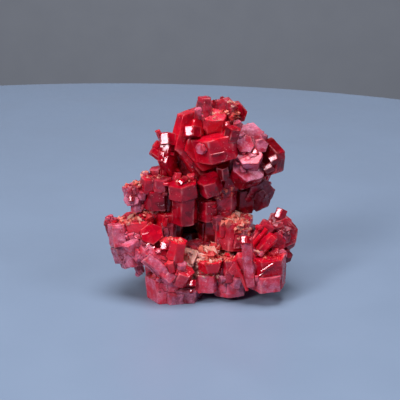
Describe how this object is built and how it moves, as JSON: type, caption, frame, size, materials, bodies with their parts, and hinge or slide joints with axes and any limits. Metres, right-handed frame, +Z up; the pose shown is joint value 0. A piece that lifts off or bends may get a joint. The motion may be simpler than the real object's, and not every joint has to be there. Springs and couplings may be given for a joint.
{
  "type": "vanadinite on matrix",
  "caption": "Small mineral specimen of deep red hexagonal crystals, plates and stubby prisms, grown together round a brown host rock, standing on its own base.",
  "frame": {"origin": "centre of the bounding box in plan, at the plane that the specimen stands on", "axes": "+Z up, +X along the specimen's width to the viewer's right, -Y towards the viewer"},
  "size_m": [0.031, 0.0184, 0.0324],
  "materials": {
    "vanadinite": "deep red, translucent at thin edges, bright resinous to adamantine lustre",
    "host_rock": "dull brown to tan, rough and granular"
  },
  "bodies": {
    "root": {"head_crystals": "vanadinite", "standing_plate": "vanadinite", "left_arm_crystals": "vanadinite", "column_crystals": "vanadinite", "crusted_block": "vanadinite", "overhang_crystals": "vanadinite", "left_lobe_crystals": "vanadinite", "foot_crystals": "vanadinite", "rim_crystals": "vanadinite", "right_lobe_crystals": "vanadinite", "back_crystals": "vanadinite", "matrix": "host_rock"}
  },
  "joints": []
}
